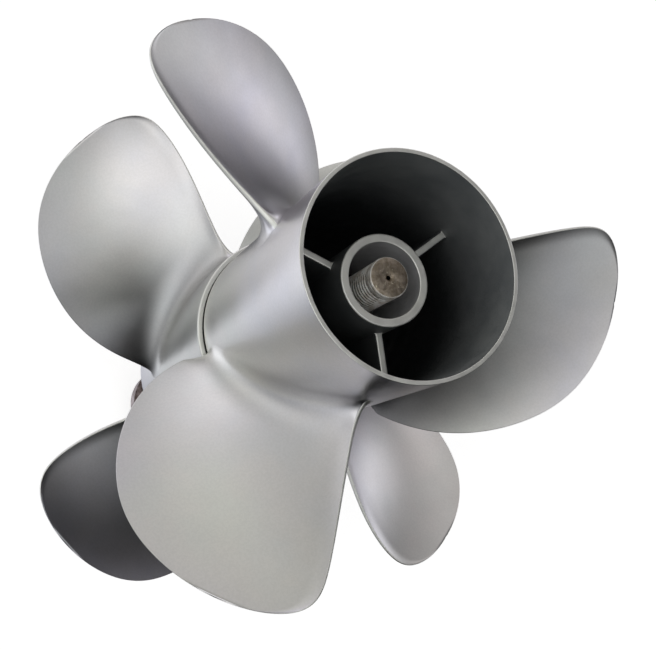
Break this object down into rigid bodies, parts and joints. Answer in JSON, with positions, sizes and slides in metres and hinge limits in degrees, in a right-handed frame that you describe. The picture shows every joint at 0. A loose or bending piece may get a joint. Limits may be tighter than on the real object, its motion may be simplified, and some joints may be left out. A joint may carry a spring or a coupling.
{
  "type": "boat propeller",
  "caption": "Twin counter-rotating stainless boat propellers on coaxial shafts, with exhaust through the hubs, cushioned splined hubs and a flanged bearing carrier.",
  "frame": {"origin": "centre of the bearing carrier's bolt circle, on the flange face that seats on the gearcase", "axes": "+Z along both shafts, pointing aft towards the open end of the rear hub; the forward end is at -Z"},
  "size_m": [0.3628, 0.3628, 0.522],
  "materials": {
    "stainless": "satin to polished cast stainless steel",
    "shaft_steel": "turned, lightly stained",
    "bearing_steel": "ground and polished",
    "brass": "turned",
    "rubber": "moulded, matt",
    "carrier_paint": "dark satin paint"
  },
  "bodies": {
    "root": {"bearing_carrier": "carrier_paint", "carrier_o_ring": "rubber", "carrier_seal": "rubber", "carrier_bearing_cup": "bearing_steel", "carrier_bearing_rollers": "bearing_steel", "forward_bearing_outer_ring": "bearing_steel"},
    "front_propeller": {"outer_shaft": "shaft_steel", "fore_bearing_cup": "bearing_steel", "fore_bearing_rollers": "bearing_steel", "aft_bearing_cup": "bearing_steel", "aft_bearing_rollers": "bearing_steel", "shaft_seal": "rubber", "front_thrust_hub": "brass", "front_spline_sleeve": "brass", "front_hub_bushing": "rubber", "front_hub_tube": "stainless", "front_hub_ribs": "stainless", "front_hub_barrel": "stainless", "front_blade_1": "stainless", "front_blade_2": "stainless", "front_blade_3": "stainless", "front_blade_4": "stainless", "front_tab_washer": "shaft_steel", "front_ring_nut": "shaft_steel"},
    "rear_propeller": {"inner_shaft": "shaft_steel", "forward_bearing_inner_ring": "bearing_steel", "forward_bearing_balls": "bearing_steel", "forward_bearing_cage": "brass", "rear_thrust_hub": "brass", "rear_spline_sleeve": "brass", "rear_hub_bushing": "rubber", "rear_hub_tube": "stainless", "rear_hub_ribs": "stainless", "rear_hub_barrel": "stainless", "rear_blade_1": "stainless", "rear_blade_2": "stainless", "rear_blade_3": "stainless", "rear_thrust_washer": "brass", "rear_tab_washer": "shaft_steel", "rear_lock_nut": "shaft_steel"}
  },
  "joints": [
    {"name": "front_spin", "type": "hinge", "parent": "root", "child": "front_propeller", "pos_m": [0, 0, 0], "axis": [0, 0, 1], "continuous": true},
    {"name": "rear_spin", "type": "hinge", "parent": "root", "child": "rear_propeller", "pos_m": [0, 0, 0], "axis": [0, 0, 1], "continuous": true}
  ],
  "couplings": [
    {"joint": "rear_spin", "follows": "front_spin", "ratio": -1}
  ]
}
